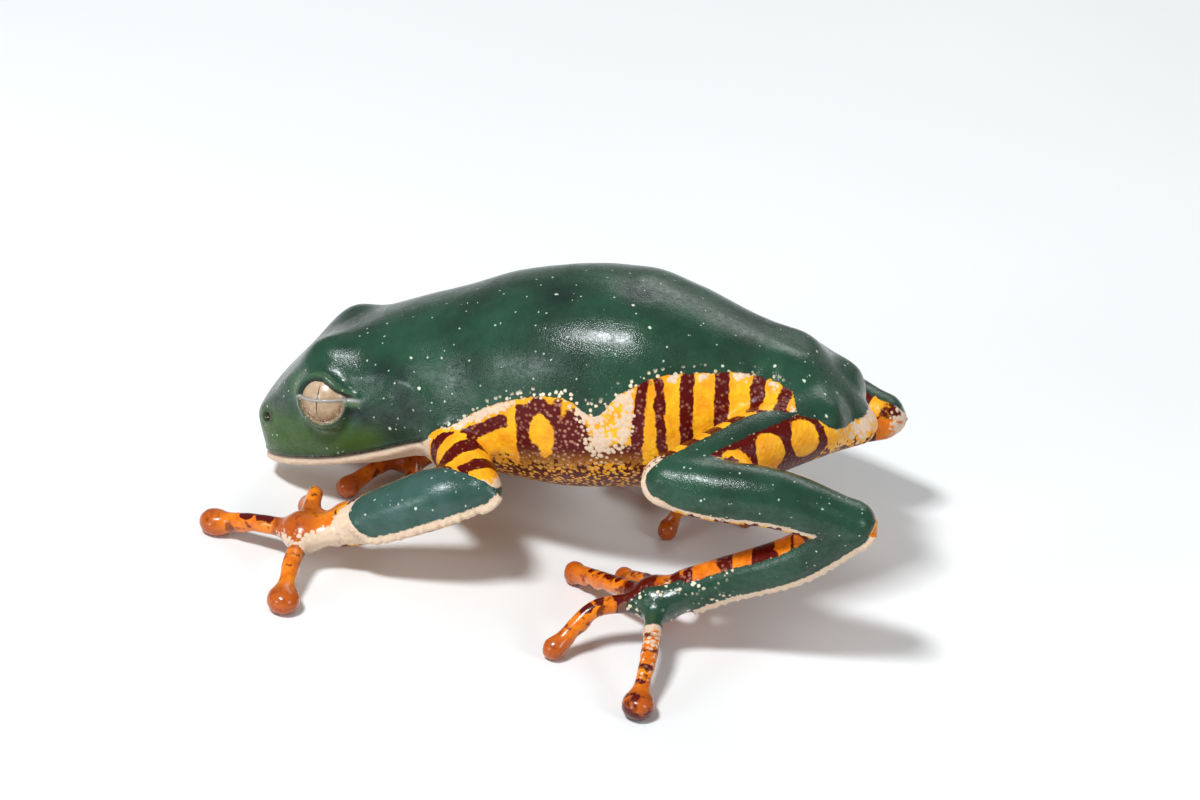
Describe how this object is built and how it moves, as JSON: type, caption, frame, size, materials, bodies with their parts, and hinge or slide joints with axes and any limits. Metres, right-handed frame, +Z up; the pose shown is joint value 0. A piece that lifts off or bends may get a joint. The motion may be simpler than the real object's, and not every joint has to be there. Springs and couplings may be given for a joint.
{
  "type": "tiger-legged monkey frog",
  "caption": "Life-size tree frog figure walking low on four long limbs, glossy green back, barred orange flanks, orange digits with round discs, half-closed eyes.",
  "frame": {"origin": "centre of the bounding box in plan, on the plane that the toe discs stand on", "axes": "+X from the snout to the rump, -Y to the frog's own left side, +Z up; nose end at -X"},
  "size_m": [0.0616, 0.0548, 0.0277],
  "materials": {
    "skin_green": "glossy",
    "skin_orange": "glossy",
    "eye_beige": "glossy"
  },
  "bodies": {
    "root": {"torso": "skin_green", "head": "skin_green", "lower_jaw": "skin_green", "left_eye": "eye_beige", "right_eye": "eye_beige", "left_upper_arm": "skin_green", "left_forearm": "skin_green", "left_hand": "skin_orange", "left_first_finger": "skin_orange", "left_second_finger": "skin_orange", "left_third_finger": "skin_orange", "left_fourth_finger": "skin_orange", "left_thigh": "skin_green", "left_shank": "skin_green", "left_tarsus": "skin_green", "left_foot": "skin_green", "left_first_toe": "skin_orange", "left_second_toe": "skin_orange", "left_third_toe": "skin_orange", "left_fourth_toe": "skin_orange", "left_fifth_toe": "skin_orange", "right_upper_arm": "skin_green", "right_forearm": "skin_green", "right_hand": "skin_orange", "right_first_finger": "skin_orange", "right_second_finger": "skin_orange", "right_third_finger": "skin_orange", "right_fourth_finger": "skin_orange", "right_thigh": "skin_green", "right_shank": "skin_green", "right_tarsus": "skin_green", "right_foot": "skin_green", "right_first_toe": "skin_orange", "right_second_toe": "skin_orange", "right_third_toe": "skin_orange", "right_fourth_toe": "skin_orange", "right_fifth_toe": "skin_orange"}
  },
  "joints": []
}
